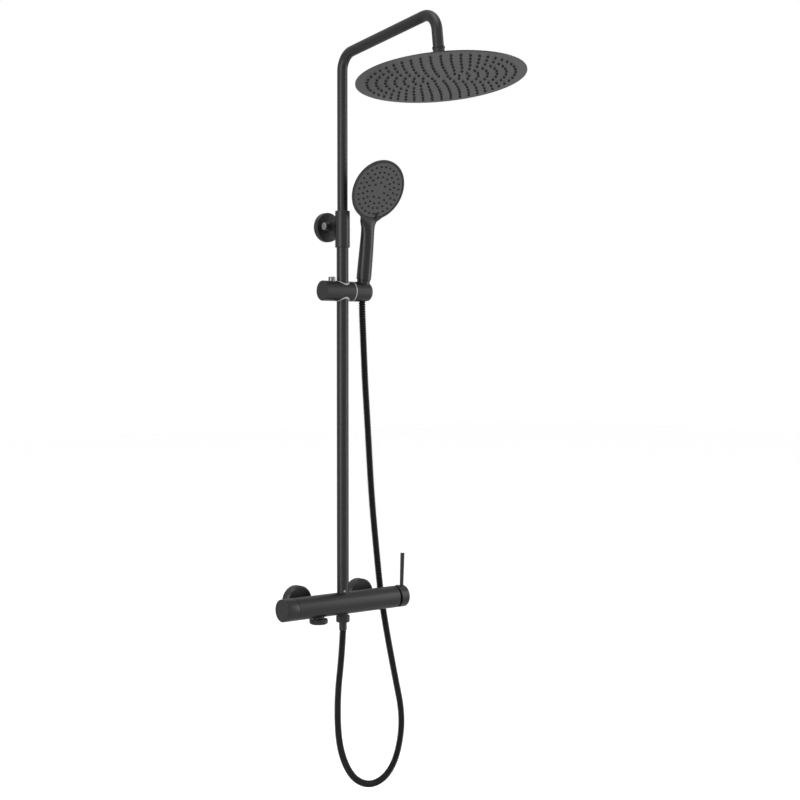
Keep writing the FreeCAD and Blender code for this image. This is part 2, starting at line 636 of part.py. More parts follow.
def build_collar(riser_screw):
    """The collar that joins both tubes, with the lug that takes the wall bracket's cross barrel."""
    foot = f"{BAR_Z} + collar_foot"
    step = "(tube_top - collar_foot)"
    shell = turned("collar_turned", [
        ("lower_tube_radius + running_gap", 0), ("collar_radius - 0.6", 0), ("collar_radius", 0.6),
        ("collar_radius", "collar_length - 0.6"), ("collar_radius - 0.6", "collar_length"),
        ("upper_tube_radius + 0.4", "collar_length"), ("upper_tube_radius + 0.4", "collar_length - 1"),
        ("upper_tube_radius + 2.6", "collar_length - 1"), ("upper_tube_radius + 2.6", step),
        ("lower_tube_radius + running_gap", step)], (0, AXIS_Y, foot))
    back = "(barrel_radius + 0.4 - barrel_distance)"
    lug = padded("lug_padded", "YZ_Plane", [
        (back, 8.3), (back, -5.3), ("collar_radius - wall_distance - 1", -21.3),
        ("collar_radius - wall_distance - 5", -21.3), ("collar_radius - wall_distance - 5", 8.3)],
        "lug_width", (0, 0, BRACKET_Z))
    barrel_bore = cylinder("lug_barrel_bore", "barrel_radius + running_gap", "lug_width + 2",
                           ("-lug_width / 2 - 1", "-barrel_distance", BRACKET_Z), "right")
    stem_bore = cylinder("lug_stem_bore", "bracket_stem_radius + running_gap", 18,
                         (0, "-barrel_distance + 10", BRACKET_Z), "room")
    clear_bore = cylinder("collar_clear_bore", "lower_tube_radius + running_gap", "collar_length - 14",
                          (0, AXIS_Y, foot), "up")
    holes = [cylinder(f"collar_screw_hole_{word}", 2.55, 8,
                      (f"{radius} * 0.7071", f"-wall_distance - {radius} * 0.7071",
                       f"{foot} + {height}"), Rotation(Vector(0, 0, 1), 45) * TURNS["room"])
             for word, radius, height in (("low", "(lower_tube_radius + 0.1)", 10),
                                          ("high", "(upper_tube_radius + 2.7)", 63))]
    node(cut("collar_finished", fuse("collar_with_lug", shell, lug), barrel_bore, stem_bore, clear_bore,
             *holes), "riser_collar")
    screws = [cylinder(f"collar_screw_{word}", 2.5, length,
                       (f"{radius} * 0.7071", f"-wall_distance - {radius} * 0.7071",
                        f"{foot} + {height}"), Rotation(Vector(0, 0, 1), 45) * TURNS["room"])
              for word, radius, height, length in (
                  ("low", "(lower_tube_radius + 0.1)", 10, "collar_radius - lower_tube_radius - 0.6"),
                  ("high", "(upper_tube_radius + 2.7)", 63, "collar_radius - upper_tube_radius - 3.2"))]
    node(group("riser_screws", riser_screw, *screws), "riser_grub_screws")
    bush = turned("bush_turned", [
        ("upper_tube_radius + running_gap", 0.2), ("upper_tube_radius + 2.55", 0.2),
        ("upper_tube_radius + 2.55", f"collar_length - 1.1 - {step}"),
        ("upper_tube_radius + running_gap", f"collar_length - 1.1 - {step}")],
        (0, AXIS_Y, f"{BAR_Z} + tube_top"))
    node(bush, "wiper_bush")


def build_bracket():
    flange = turned("flange_turned", [
        ("flange_radius", 0), ("flange_radius", "flange_depth - 1.5"),
        ("flange_radius - 1.5", "flange_depth"), ("bracket_stem_radius + 0.2", "flange_depth"),
        ("bracket_stem_radius + 0.2", "flange_depth - sheet_wall"),
        ("flange_radius - 2", "flange_depth - sheet_wall"),
        ("flange_radius - sheet_wall", "flange_depth - 2"), ("flange_radius - sheet_wall", 0)],
        (0, 0, BRACKET_Z), "room")
    node(flange, "wall_flange")
    plate = cylinder("plate_blank", "plate_radius", "plate_thickness", (0, 0, BRACKET_Z), "room")
    holes = [cylinder(f"plate_hole_{word}", "fixing_hole_radius", "plate_thickness + 2",
                      (0, 1, f"{BRACKET_Z} + {side} * fixing_spacing / 2"), "room")
             for word, side in (("low", -1), ("high", 1))]
    stem_hole = cylinder("plate_stem_hole", "bracket_stem_radius + 0.02", "plate_thickness",
                         (0, -1, BRACKET_Z), "room")
    node(cut("plate_drilled", plate, stem_hole, *holes), "wall_plate")
    node(cylinder("bracket_rod", "bracket_stem_radius", "barrel_distance + 7",
                  (0, -1, BRACKET_Z), "room"), "bracket_stem")
    barrel = turned("barrel_turned", [
        (0, 0), ("barrel_radius - 0.5", 0), ("barrel_radius", 0.5),
        ("barrel_radius", "barrel_length - 0.5"), ("barrel_radius - 0.5", "barrel_length"),
        (0, "barrel_length")], ("-barrel_length / 2", "-barrel_distance", BRACKET_Z), "right")
    cross = cylinder("barrel_cross_hole", "bracket_stem_radius + 0.02", 20,
                     (0, "10 - barrel_distance", BRACKET_Z), "room")
    node(cut("barrel_drilled", barrel, cross), "bracket_barrel")


def arm_frame():
    """Directions along the arm and down its drop, and the point where their axes cross."""
    rise = math.radians(value("arm_rise"))
    along = Vector(0, -math.cos(rise), math.sin(rise))
    down = Vector(0, -math.sin(rise), -math.cos(rise))
    corner = vector(0, AXIS_Y, f"arm_height + {BAR_Z}") + along * value("arm_length")
    return along, down, corner


def build_arm():
    """One bent tube: straight riser, a bend to the rising arm, and a bend to the drop."""
    along, down, far = arm_frame()
    up = Vector(0, 0, 1)
    near = vector(0, AXIS_Y, f"arm_height + {BAR_Z}")
    foot = vector(0, AXIS_Y, f"upper_tube_foot + {BAR_Z}")
    end = far + down * value("drop_tube")
    radius = value("arm_bend_radius")
    edges = bent_path([foot, near, far, end], [radius, radius])
    outer = value("upper_tube_radius")
    tube = tube_along((foot, up), edges, outer, outer - value("upper_tube_wall"))
    node(shaped("bent_tube", tube), "upper_riser_arm")
    inner = "(lower_tube_radius - lower_tube_wall)"
    piston = turned("piston_turned", [
        (6, 0), (f"{inner} - running_gap", 0), (f"{inner} - running_gap", 6),
        ("upper_tube_radius - upper_tube_wall - running_gap", 6),
        ("upper_tube_radius - upper_tube_wall - running_gap", 18), (6, 18)],
        (0, AXIS_Y, f"{BAR_Z} + upper_tube_foot - 6.1"))
    node(piston, "telescope_piston")


def bent_path(corners, radii):
    """Straight runs joined by tangent arcs of the given radii."""
    edges, start = [], corners[0]
    for before, corner, after, radius in zip(corners, corners[1:], corners[2:], radii):
        back, ahead = (before - corner).normalize(), (after - corner).normalize()
        half = back.getAngle(ahead) / 2
        reach = radius / math.tan(half)
        first, last = corner + back * reach, corner + ahead * reach
        middle = corner + (back + ahead).normalize() * (radius / math.sin(half) - radius)
        edges.append(Part.LineSegment(start, first).toShape())
        edges.append(Part.Arc(first, middle, last).toShape())
        start = last
    edges.append(Part.LineSegment(start, corners[-1]).toShape())
    return edges


# ---------------------------------------------------------------- rain head


def ring_pattern(body, sketch_name, radius, ring, count, feature, length, turn=0):
    """One round hole or peg on a ring, turned by some degrees, and its copies round the body's axis."""
    sketch = body.newObject("Sketcher::SketchObject", sketch_name)
    sketch.AttachmentSupport = [(own_plane(body, "XY_Plane"), "")]
    sketch.MapMode = "FlatFace"
    sketch.AttachmentOffset = Placement(Vector(0, 0, 0), Rotation(Vector(0, 0, 1), turn))
    sketch.addGeometry(Part.Circle(Vector(value(ring), 0, 0), Vector(0, 0, 1), value(radius)), False)
    sketch.addConstraint(Sketcher.Constraint("PointOnObject", 0, 3, -1))
    spot = sketch.addConstraint(Sketcher.Constraint("DistanceX", -1, 1, 0, 3, value(ring)))
    size = sketch.addConstraint(Sketcher.Constraint("Radius", 0, value(radius)))
    sketch.setExpression(f"Constraints[{spot}]", bound(ring))
    sketch.setExpression(f"Constraints[{size}]", bound(radius))
    item = body.newObject("PartDesign::" + feature, sketch_name + "_feature")
    item.Profile = (sketch, [""])
    item.setExpression("Length", bound(length))
    if feature == "Pocket":
        item.Midplane = True
    pattern = body.newObject("PartDesign::PolarPattern", sketch_name + "_round")
    pattern.Originals = [item]
    pattern.Axis = (sketch, ["N_Axis"])
    pattern.Angle = 360
    pattern.Occurrences = count
    body.Tip = pattern
    return pattern


def build_head():
    along, down, corner = arm_frame()
    tilt = Rotation(Vector(1, 0, 0), -value("arm_rise"))
    centre = corner + down * value("ball_drop")
    frame = Placement(centre, tilt)

    def hang(item, label):
        """Puts a piece modelled about the ball's centre at the end of the drop."""
        return node(carry(item, frame), label)

    tube_end = "(ball_drop - drop_tube)"
    plug = "(upper_tube_radius - upper_tube_wall - running_gap)"
    stud = turned("stud_turned", [
        (4, 0), (6, 0), (6, 13), (10.6, 13), (10.6, f"{tube_end} - 3.5"), (11.4, f"{tube_end} - 3"),
        (11.4, f"{tube_end} - 0.4"), (11, tube_end), (plug, tube_end), (plug, f"{tube_end} + 12"),
        (4, f"{tube_end} + 12")])
    stud_bore = cylinder("stud_bore", 4, "ball_drop", (0, 0, -20))
    hang(cut("stud_finished", fuse("stud_with_ball", stud, ball("stud_ball", "ball_radius")), stud_bore),
         "ball_stud")

    shell = cut("seat_shell", ball("seat_outside", "seat_radius"),
                ball("seat_inside", "ball_radius + running_gap"))
    hang(common("seat_zone", shell, cylinder("seat_band", 20, 10, (0, 0, -5))), "ball_seat_ring")

    nut = turned("ball_nut_turned", [
        (15.05, -12), (18, -12), (18, 2), (15.5, 7), (0, 7), (0, 0.5), (15.05, 0.5)])
    hang(cut("ball_nut_cut", nut, ball("nut_seat", "seat_radius + running_gap")), "ball_nut")
    inlet = turned("inlet_turned", [
        (5, HEAD_BACK), (24, HEAD_BACK), (23, f"{HEAD_BACK} + 2"), (15, f"{HEAD_BACK} + 4"), (15, 0.4),
        (5, 0.4)])
    hang(cut("inlet_cut", inlet, ball("inlet_seat", "seat_radius + running_gap")), "head_inlet")

    top = turned("top_sheet_turned", [
        (6, HEAD_BACK), (6, f"{HEAD_BACK} - head_sheet"), ("head_radius - 2", f"{HEAD_BACK} - head_sheet"),
        ("head_radius - 2", f"{HEAD_FACE} + head_sheet"), ("head_radius", f"{HEAD_FACE} + head_sheet"),
        ("head_radius", f"{HEAD_BACK} - 0.4"), ("head_radius - 0.4", HEAD_BACK)])
    hang(top, "head_top_sheet")

    sheet_frame = Placement(centre + down * value("head_drop - ball_drop"), tilt)
    face = turned("face_sheet_turned", [
        (0, 0), ("head_radius - 0.3", 0), ("head_radius", 0.3), ("head_radius", "head_sheet - 0.02"),
        (0, "head_sheet - 0.02")])
    mat = turned("mat_turned", [
        (0, "head_sheet"), ("head_radius - 4", "head_sheet"),
        ("head_radius - 4", "head_depth - head_sheet - 0.05"), (0, "head_depth - head_sheet - 0.05")])
    for ring in range(1, int(value("head_ring_count")) + 1):
        turn = value("head_ring_turn") + ring * value("head_ring_swirl")
        ring_pattern(face, f"face_holes_{ring}", "head_nozzle_radius + 0.2", f"head_ring_pitch * {ring}",
                     6 * ring, "Pocket", 4, turn)
        ring_pattern(mat, f"mat_nozzles_{ring}", "head_nozzle_radius", f"head_ring_pitch * {ring}",
                     6 * ring, "Pad", "head_sheet + 0.2", turn)
    node(carry(face, sheet_frame), "head_face_sheet")
    node(carry(mat, sheet_frame), "head_nozzle_mat")


# ---------------------------------------------------------------- slider


def build_slider():
    axis = (SLIDER_Y, SLIDER_Z)
    sleeve = turned("liner_turned", [
        ("lower_tube_radius + running_gap", -25), ("liner_radius", -25), ("liner_radius", 25),
        ("lower_tube_radius + running_gap", 25)], (0, AXIS_Y, SLIDER_Z))
    trim = cylinder("liner_trim", "slider_radius + liner_proud", 60, (-30, *axis), "right")
    node(common("liner_trimmed", sleeve, trim), "slider_liner")

    barrel = cylinder("housing_blank", "slider_radius", "slider_left + slider_right",
                      ("-slider_left", *axis), "right")
    bores = [cylinder("housing_riser_bore", "liner_radius + running_gap", 60,
                      (0, AXIS_Y, f"{SLIDER_Z} - 30"), "up"),
             cylinder("housing_lock_bore", 14, "slider_left - 16", ("-slider_left", *axis), "right"),
             block("housing_shoe_slot", (10, 14.4, 11.4), (-19.5, "slider_setback - wall_distance - 7.2",
                                                           f"{SLIDER_Z} - 9.4")),
             cylinder("housing_button_hole", "button_radius + 0.1", 30,
                      ("button_place", SLIDER_Y, SLIDER_Z), "up"),
             cylinder("housing_spindle_bore", "cradle_spindle_radius + running_gap", 20,
                      ("slider_right - cradle_spindle_reach - 0.5", *axis), "right")]
    node(cut("housing_finished", barrel, *bores), "slider_housing")
    cap = turned("slider_cap_turned", [
        (0, 0), ("slider_radius - 0.8", 0), ("slider_radius", 0.8), ("slider_radius", "slider_cap"),
        (13.9, "slider_cap"), (13.9, "slider_cap + 4"), (0, "slider_cap + 4")],
        ("-slider_left - slider_cap", *axis), "right")
    node(cap, "slider_end_cap")

    button = turned("button_turned", [
        (0, 5), ("button_radius", 5), ("button_radius", 9.5), ("button_radius + 0.5", 9.5),
        ("button_radius + 0.5", 11.5), ("button_radius", 11.5), ("button_radius", "button_top - 1"),
        ("button_radius - 1", "button_top"), (0, "button_top")], ("button_place", SLIDER_Y, SLIDER_Z))
    node(button, "release_button")
    coil = Part.makeHelix(3, 17, 3.6)
    wire = Part.Wire(Part.makeCircle(0.45, Vector(3.6, 0, 0), Vector(0, 1, 0)))
    spring = Part.Wire(coil.Edges).makePipeShell([wire], True, True)
    node(shaped("spring_coil", spring, Placement(
        vector("button_place", SLIDER_Y, f"{SLIDER_Z} - 12.7"), Rotation())), "button_spring")
    shoe = block("shoe_block", (5.5, 14, 8), (-18.5, "slider_setback - wall_distance - 7",
                                              f"{SLIDER_Z} - 9.2"))
    shoe_face = cylinder("shoe_face", "liner_radius + 0.1", 40, (0, AXIS_Y, f"{SLIDER_Z} - 20"), "up")
    node(cut("shoe_cut", shoe, shoe_face), "lock_shoe")

    ring = turned("tilt_ring_turned", [
        ("cradle_spindle_radius + 0.1", 0.1), ("slider_radius", 0.1),
        ("slider_radius", "tilt_ring_width - 0.1"), ("cradle_spindle_radius + 0.1", "tilt_ring_width - 0.1")],
        ("slider_right", *axis), "right")
    node(ring, "tilt_ring")

    blank = cylinder("cradle_blank", "slider_radius", f"cradle_end - {CRADLE_START}",
                     (CRADLE_START, *axis), "right")
    round_end = rounded("cradle_rounded", blank, "cradle_rounding",
                        lambda edge: edge.BoundBox.XMin > value("cradle_end - 0.1"))
    spindle = cylinder("cradle_spindle", "cradle_spindle_radius",
                       "tilt_ring_width + cradle_spindle_reach",
                       ("slider_right - cradle_spindle_reach", *axis), "right")
    lean = Rotation(Vector(1, 0, 0), value("handset_tilt"))
    up = lean.multVec(Vector(0, 0, 1))
    slope = "((cone_top_radius - cone_foot_radius) / (cone_foot + handle_foot))"
    reach = 30
    foot_at = ("handset_place", f"{SLIDER_Y} - {reach * up.y:.6f}", f"{SLIDER_Z} - {reach * up.z:.6f}")
    bore = cone("cradle_bore", f"cone_foot_radius + fit_gap - {slope} * ({reach} - cone_foot)",
                f"cone_foot_radius + fit_gap + {slope} * ({reach} + cone_foot)", 2 * reach, foot_at, lean)
    slot = block("cradle_slot", (40, "2 * hose_radius + 2", 80),
                 ("handset_place", f"{SLIDER_Y} - hose_radius - 1", f"{SLIDER_Z} - 40"))
    node(cut("cradle_finished", fuse("cradle_with_spindle", round_end, spindle), bore, slot),
         "handset_cradle")


# ---------------------------------------------------------------- handset


def squared(ratio):
    """A sine or cosine drawn towards 1, which turns a circle into a rounded square."""
    return math.copysign(abs(ratio) ** 0.8, ratio)


def build_handset():
    lean = Rotation(Vector(1, 0, 0), value("handset_tilt"))
    origin = vector("handset_place", SLIDER_Y, SLIDER_Z)
    frame = Placement(origin, lean)
    face_centre = vector(0, "-face_forward", "face_height")
    face_turn = Rotation(Vector(1, 0, 0), 270 + value("face_tilt"))
    face_frame = frame.multiply(Placement(face_centre, face_turn))

    def held(item, label):
        return node(carry(item, frame), label)

    def on_face(item, label):
        return node(carry(item, face_frame), label)

    nut = turned("cone_nut_turned", [
        (5, "-cone_foot"), ("cone_foot_radius", "-cone_foot"), ("cone_top_radius", "handle_foot"),
        (10.3, "handle_foot"), (10.3, "handle_foot - 12"), (5, "handle_foot - 14")])
    held(nut, "hose_cone_nut")

    foot, waist = value("handle_foot_radius"), value("handle_waist_radius")
    base, radius, back = value("handle_foot"), value("face_radius"), value("head_back")
    neck = value("face_height - face_radius")
    # height, front, back and half width of the handle's sections: its front is flatter than its back
    stations = [(base, -foot, foot, foot), (base + 38, 0.6 - foot, foot - 0.6, foot - 0.6),
                (base + 76, 1 - waist, waist - 0.8, waist - 0.6), (neck - 10, -9.5, 11.8, 12.2),
                (neck + 4, -5.6, 11, 14), (neck + 20, -7.4, 7, 20), (neck + 38, -10, 1, 22)]
    rings = []
    for height, front, rear, half_width in stations:
        middle, half_depth = (front + rear) / 2, (rear - front) / 2
        outline = Part.BSplineCurve()
        outline.interpolate([Vector(half_width * squared(math.cos(angle)),
                                    middle + half_depth * squared(math.sin(angle)), height)
                             for angle in (math.pi * k / 8 for k in range(16))], PeriodicFlag=True)
        rings.append(Part.Wire(outline.toShape()))
    handle = Part.makeLoft(rings, True, False)
    edge = value("rim_depth")
    crown = back - edge
    crown_radius = (radius ** 2 + crown ** 2) / (2 * crown)
    disc = Part.makeCylinder(radius, edge + 1)
    lens = Part.makeSphere(crown_radius, Vector(0, 0, back - crown_radius)).common(
        Part.makeCylinder(radius, back, Vector(0, 0, edge)))
    head = disc.fuse(lens).removeSplitter()
    recess = Part.makeCylinder(radius - value("rim_width"), 4.6).fuse(
        [Part.makeCylinder(46, 7), Part.makeCylinder(30, 13)])
    for shape in (head, recess):
        shape.Placement = Placement(face_centre, face_turn)
    bore = Part.makeCylinder(7.5, neck + 34 - base, Vector(0, 0, base - 1))
    shell = head.fuse(handle).cut(recess).cut(bore)
    held(shaped("handset_moulding", shell), "handset_shell")

    inlet = turned("handset_inlet_turned", [
        (5, "handle_foot - 10"), (10.2, "handle_foot - 10"), (10.2, "handle_foot"), (7.4, "handle_foot"),
        (7.4, "handle_foot + 12"), (5, "handle_foot + 12")])
    held(inlet, "handset_inlet")

    plate_radius = "(face_radius - rim_width - 0.3)"
    face = turned("spray_face_turned", [
        (0, -0.6), (f"{plate_radius} - 1.2", -0.6), (plate_radius, 0.6), (plate_radius, 2.8), (0, 2.8)])
    mat = turned("spray_mat_turned", [
        (0, 2.9), (f"{plate_radius} - 2", 2.9), (f"{plate_radius} - 2", 4.5), (0, 4.5)])
    spray_rings = ((15.5, 7, 17.5), (26.5, 14, 18), (36, 20, 5), (47, 27, 7))
    for index, (ring, count, turn) in enumerate(spray_rings):
        ring_pattern(face, f"spray_holes_{index}", "face_nozzle_radius + 0.2", ring, count, "Pocket", 12,
                     turn)
        peg = ring_pattern(mat, f"spray_pegs_{index}", "face_nozzle_radius", ring, count, "Pad", 3.2, turn)
        peg.Originals[0].Midplane = False
    tab = block("selector_block", (12, 5, 2), ("face_radius - rim_width - 9", -2.5, -2))
    turn = Placement(Vector(0, 0, 0), Rotation(Vector(0, 0, 1), 90 - value("selector_turn")))
    on_face(fuse("spray_face_with_tab", face, carry(tab, turn)), "spray_face")
    on_face(mat, "spray_nozzles")


# ---------------------------------------------------------------- hose


def build_hose():
    nut = cut("hose_nut_bored",
              hexagon("hose_nut_blank", "hose_nut_flats", "hose_nut_foot - hose_nut_top",
                      (0, AXIS_Y, f"{BAR_Z} - hose_nut_foot")),
              cylinder("hose_nut_thread", "pipe_thread_radius - 0.3 + running_gap",
                       "hose_nut_foot - hose_nut_top - 2", (0, AXIS_Y, f"{BAR_Z} - hose_nut_foot + 3"), "up"),
              cylinder("hose_nut_hole", "ferrule_radius - 1.3", 8,
                       (0, AXIS_Y, f"{BAR_Z} - hose_nut_foot - 2"), "up"))
    node(nut, "hose_hex_nut")
    ferrule = turned("ferrule_turned", [
        (4.5, 0), ("ferrule_radius", 0), ("ferrule_radius", "ferrule_length"),
        ("ferrule_radius - 1.4", "ferrule_length"), ("ferrule_radius - 1.4", "ferrule_length + 3"),
        (8.6, "ferrule_length + 3.1"), (8.6, "ferrule_length + 5.2"), (4.5, "ferrule_length + 5.2")],
        (0, AXIS_Y, f"{BAR_Z} - hose_nut_foot - ferrule_length"))
    node(ferrule, "hose_ferrule")

    total = 0
    for label, points in HOSE_ROUTE.items():
        corners = [Vector(x, y, z) + vector(0, AXIS_Y, BAR_Z) for x, y, z in points]
        if label == "hose_loop":
            corners[0] = vector(0, AXIS_Y, f"{BAR_Z} - hose_nut_foot - ferrule_length - 0.6")
        radii = [arc_radius(*three) for three in zip(corners, corners[1:], corners[2:])]
        edges = bent_path(corners, radii)
        tube = tube_along((corners[0], corners[1] - corners[0]), edges, value("hose_radius"))
        length = sum(edge.Length for edge in edges)
        total += length
        section = math.pi * value("hose_radius") ** 2
        print(f"{label}: length {length:.1f}, volume ratio {tube.Volume / (section * length):.4f}, "
              f"radii {[round(r) for r in radii]}")
        node(shaped(label + "_tube", tube), label)
    print(f"hose length {total:.1f}")


def arc_radius(before, corner, after):
    """The arc at a corner of the hose is as large as its two runs allow."""
    back, ahead = corner - before, after - corner
    return 0.45 * min(back.Length, ahead.Length) / math.tan(back.getAngle(ahead) / 2)


build_inlets()
build_bar()
build_cartridge()
build_lever()
build_diverter()
build_collar(build_riser())
build_bracket()
build_arm()
build_head()
build_slider()
build_handset()
build_hose()
doc.recompute()

faults = [item.Label for item in doc.Objects if "Invalid" in item.State or "Error" in item.State]
for item in NODES:
    if item.Shape.isNull() or not item.Shape.isValid() or not item.Shape.Solids:
        faults.append(item.Label)
if faults:
    raise SystemExit("these did not build: " + ", ".join(faults))

os.makedirs("parts", exist_ok=True)
for item in NODES:
    item.Shape.exportStep(f"parts/{item.Label}.step")
print(len(NODES), "nodes written")
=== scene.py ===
import math

import bpy
import bmesh
import numpy as np
from mathutils import Matrix, Vector


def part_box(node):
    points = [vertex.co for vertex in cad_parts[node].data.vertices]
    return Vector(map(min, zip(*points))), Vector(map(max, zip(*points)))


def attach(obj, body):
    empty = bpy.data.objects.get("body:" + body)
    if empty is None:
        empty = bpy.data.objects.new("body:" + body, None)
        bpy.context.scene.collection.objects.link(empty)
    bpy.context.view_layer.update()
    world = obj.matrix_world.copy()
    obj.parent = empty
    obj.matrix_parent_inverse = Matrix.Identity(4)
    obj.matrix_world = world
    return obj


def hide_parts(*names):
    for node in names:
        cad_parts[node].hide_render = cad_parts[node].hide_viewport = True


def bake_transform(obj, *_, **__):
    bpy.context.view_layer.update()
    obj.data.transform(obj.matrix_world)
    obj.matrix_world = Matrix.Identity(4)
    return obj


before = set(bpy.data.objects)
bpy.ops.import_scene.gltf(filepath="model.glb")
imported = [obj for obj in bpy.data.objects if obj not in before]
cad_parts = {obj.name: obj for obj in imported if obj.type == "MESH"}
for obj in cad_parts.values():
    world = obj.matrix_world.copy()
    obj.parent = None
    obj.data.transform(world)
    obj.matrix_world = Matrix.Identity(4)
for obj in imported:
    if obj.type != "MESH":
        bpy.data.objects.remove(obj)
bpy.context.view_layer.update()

# Rainfall shower column, put together as a fitter would: wall inlets, bar mixer, riser and
# bracket, overhead arm and rain head, slider, handset, and last the hose. Metres.


# ------------------------------------------------------------------ the room it stands in
# A pale studio floor below the hose and a plain white surround. Large soft lamps stand left,
# right and overhead, as for any satin black fitting, whose shape shows only in reflections.
class Shade:
    """A shader socket that can be added to, multiplied and so on."""

    def __init__(self, finish, socket):
        self.finish, self.socket = finish, socket

    def _math(self, operation, first, second):
        return self.finish.node("ShaderNodeMath", {"operation": operation}, {0: first, 1: second})

    def __add__(self, other):
        return self._math("ADD", self, other)

    def __radd__(self, other):
        return self._math("ADD", other, self)

    def __sub__(self, other):
        return self._math("SUBTRACT", self, other)

    def __rmul__(self, other):
        return self._math("MULTIPLY", other, self)


class Finish:
    """A material or the world's surface, built node by node."""

    def __init__(self, owner, shader="ShaderNodeBsdfPrincipled"):
        self.owner = owner
        owner.use_nodes = True
        self.tree = owner.node_tree
        self.tree.nodes.clear()
        world = isinstance(owner, bpy.types.World)
        self.end = self.tree.nodes.new("ShaderNodeOutputWorld" if world else "ShaderNodeOutputMaterial")
        self.shader = self.tree.nodes.new(shader)
        self.tree.links.new(self.shader.outputs[0], self.end.inputs["Surface"])

    def node(self, kind, settings, sockets, output=0):
        made = self.tree.nodes.new(kind)
        for name, setting in settings.items():
            setattr(made, name, setting)
        for name, given in sockets.items():
            self.connect(given, made.inputs[name])
        return Shade(self, made.outputs[output])

    def connect(self, given, socket):
        if isinstance(given, Shade):
            self.tree.links.new(given.socket, socket)
        else:
            socket.default_value = given

    def set(self, **sockets):
        for name, given in sockets.items():
            self.connect(given, self.shader.inputs[name.replace("_", " ")])
        return self

    def paint(self, *pieces):
        """Gives this finish to pieces, and to CAD nodes by their names."""
        for piece in pieces:
            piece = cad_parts[piece] if isinstance(piece, str) else piece
            if not piece.data.materials:
                piece.data.materials.append(self.owner)
            for place in piece.material_slots:
                place.material = self.owner


def grey(level):
    return (level, level, level, 1.0)


surround = Finish(bpy.data.worlds.new("studio_surround"), "ShaderNodeBackground")
bpy.context.scene.world = surround.owner
ray = "ShaderNodeLightPath"
white = surround.node(ray, {}, {}, "Is Camera Ray") + surround.node(ray, {}, {}, "Is Transmission Ray")
ambient, in_gloss = 0.55, 0.62
surround.set(Color=grey(1.0), Strength=ambient + (1 - ambient) * white
             + (in_gloss - ambient) * surround.node(ray, {}, {}, "Is Glossy Ray"))

floor_level, floor_lift = -0.56, 0.55
bpy.ops.object.select_all(action="DESELECT")
bpy.ops.mesh.primitive_plane_add(size=30, location=(0, 0, floor_level))
floor = bpy.context.active_object
floor.name = "studio_floor"
bpy.ops.object.transform_apply(location=True, rotation=True, scale=True)
paper = Finish(bpy.data.materials.new("floor_paper"), "ShaderNodeBsdfDiffuse")
paper.set(Color=grey(0.8), Roughness=0.6)
lift = paper.tree.nodes.new("ShaderNodeEmission")
lift.inputs["Color"].default_value = grey(1.0)
paper.connect(floor_lift * paper.node(ray, {}, {}, "Is Camera Ray"), lift.inputs["Strength"])
both = paper.tree.nodes.new("ShaderNodeAddShader")
paper.tree.links.new(paper.shader.outputs[0], both.inputs[0])
paper.tree.links.new(lift.outputs[0], both.inputs[1])
paper.tree.links.new(both.outputs[0], paper.end.inputs["Surface"])
paper.paint(floor)


def soft_lamp(name, size, watts, place, aim):
    lamp = bpy.data.lights.new(name, "AREA")
    lamp.shape, lamp.size, lamp.size_y, lamp.energy = "RECTANGLE", *size, watts
    stand = bpy.data.objects.new(name, lamp)
    bpy.context.scene.collection.objects.link(stand)
    stand.location = place
    stand.rotation_euler = (Vector(aim) - Vector(place)).to_track_quat("-Z", "Y").to_euler()


column_middle = (0, -0.15, 0.4)
soft_lamp("left_box", (0.8, 2.2), 26, (-2.4, -0.6, 0.7), column_middle)
soft_lamp("right_box", (0.8, 2.2), 26, (2.2, -1.6, 0.7), column_middle)
soft_lamp("top_box", (1.8, 1.8), 24, (-0.3, -0.9, 2.9), column_middle)

camera = bpy.data.objects.new("camera", bpy.data.cameras.new("camera"))
bpy.context.scene.collection.objects.link(camera)
bpy.context.scene.camera = camera
camera.location = (-1.7153, -2.3638, 0.4721)
camera.rotation_euler = (math.radians(88.327), 0, math.radians(-38.816))
camera.data.lens, camera.data.sensor_width = 66.98, 36
bpy.context.scene.view_settings.view_transform = "Standard"


# ------------------------------------------------------------------ wall inlets
# Brass unions in the wall elbows, pressed steel rosettes over them and hexagon nuts that draw
# the bar on. All that shows carries the column's satin black coat, a baked powder with a fine
# orange peel that handling has polished a little unevenly.
def coated(name, colour, roughness, grain, peel):
    """A baked coat: peel is how strongly the fine grain, of that many bumps a metre, stands out."""
    finish = Finish(bpy.data.materials.new(name))
    spot = finish.node("ShaderNodeTexCoord", {}, {}, "Object")
    cloud = finish.node("ShaderNodeTexNoise", {}, {"Vector": spot, "Scale": 22.0, "Detail": 3.0})
    fine = finish.node("ShaderNodeTexNoise", {}, {"Vector": spot, "Scale": grain, "Detail": 2.0})
    light, dark = (tuple(c * share for c in colour) + (1.0,) for share in (1.15, 0.85))
    shade = finish.node("ShaderNodeMix", {"data_type": "RGBA"}, {0: cloud, 6: dark, 7: light}, 2)
    bump = finish.node("ShaderNodeBump", {}, {"Strength": peel, "Distance": 0.0002, "Height": fine})
    return finish.set(Base_Color=shade, Roughness=roughness + 0.1 * (cloud - 0.5), Normal=bump)


def pick(piece, kind, test):
    """In edit mode, selects only the corners, edges or faces whose middle passes the test."""
    bpy.ops.mesh.select_mode(type=kind)
    bpy.ops.mesh.select_all(action="DESELECT")
    mesh = bmesh.from_edit_mesh(piece.data)
    for item in {"VERT": mesh.verts, "EDGE": mesh.edges, "FACE": mesh.faces}[kind]:
        points = [item.co] if kind == "VERT" else [v.co for v in item.verts]
        item.select_set(test(sum(points, Vector()) / len(points), item))
    bmesh.update_edit_mesh(piece.data)


def begun(name):
    """Names the primitive just added, puts its place in its mesh and opens it for editing."""
    piece = bpy.context.active_object
    piece.name = name
    bpy.ops.object.transform_apply(location=True, rotation=True, scale=True)
    bpy.ops.object.mode_set(mode="EDIT")
    return piece


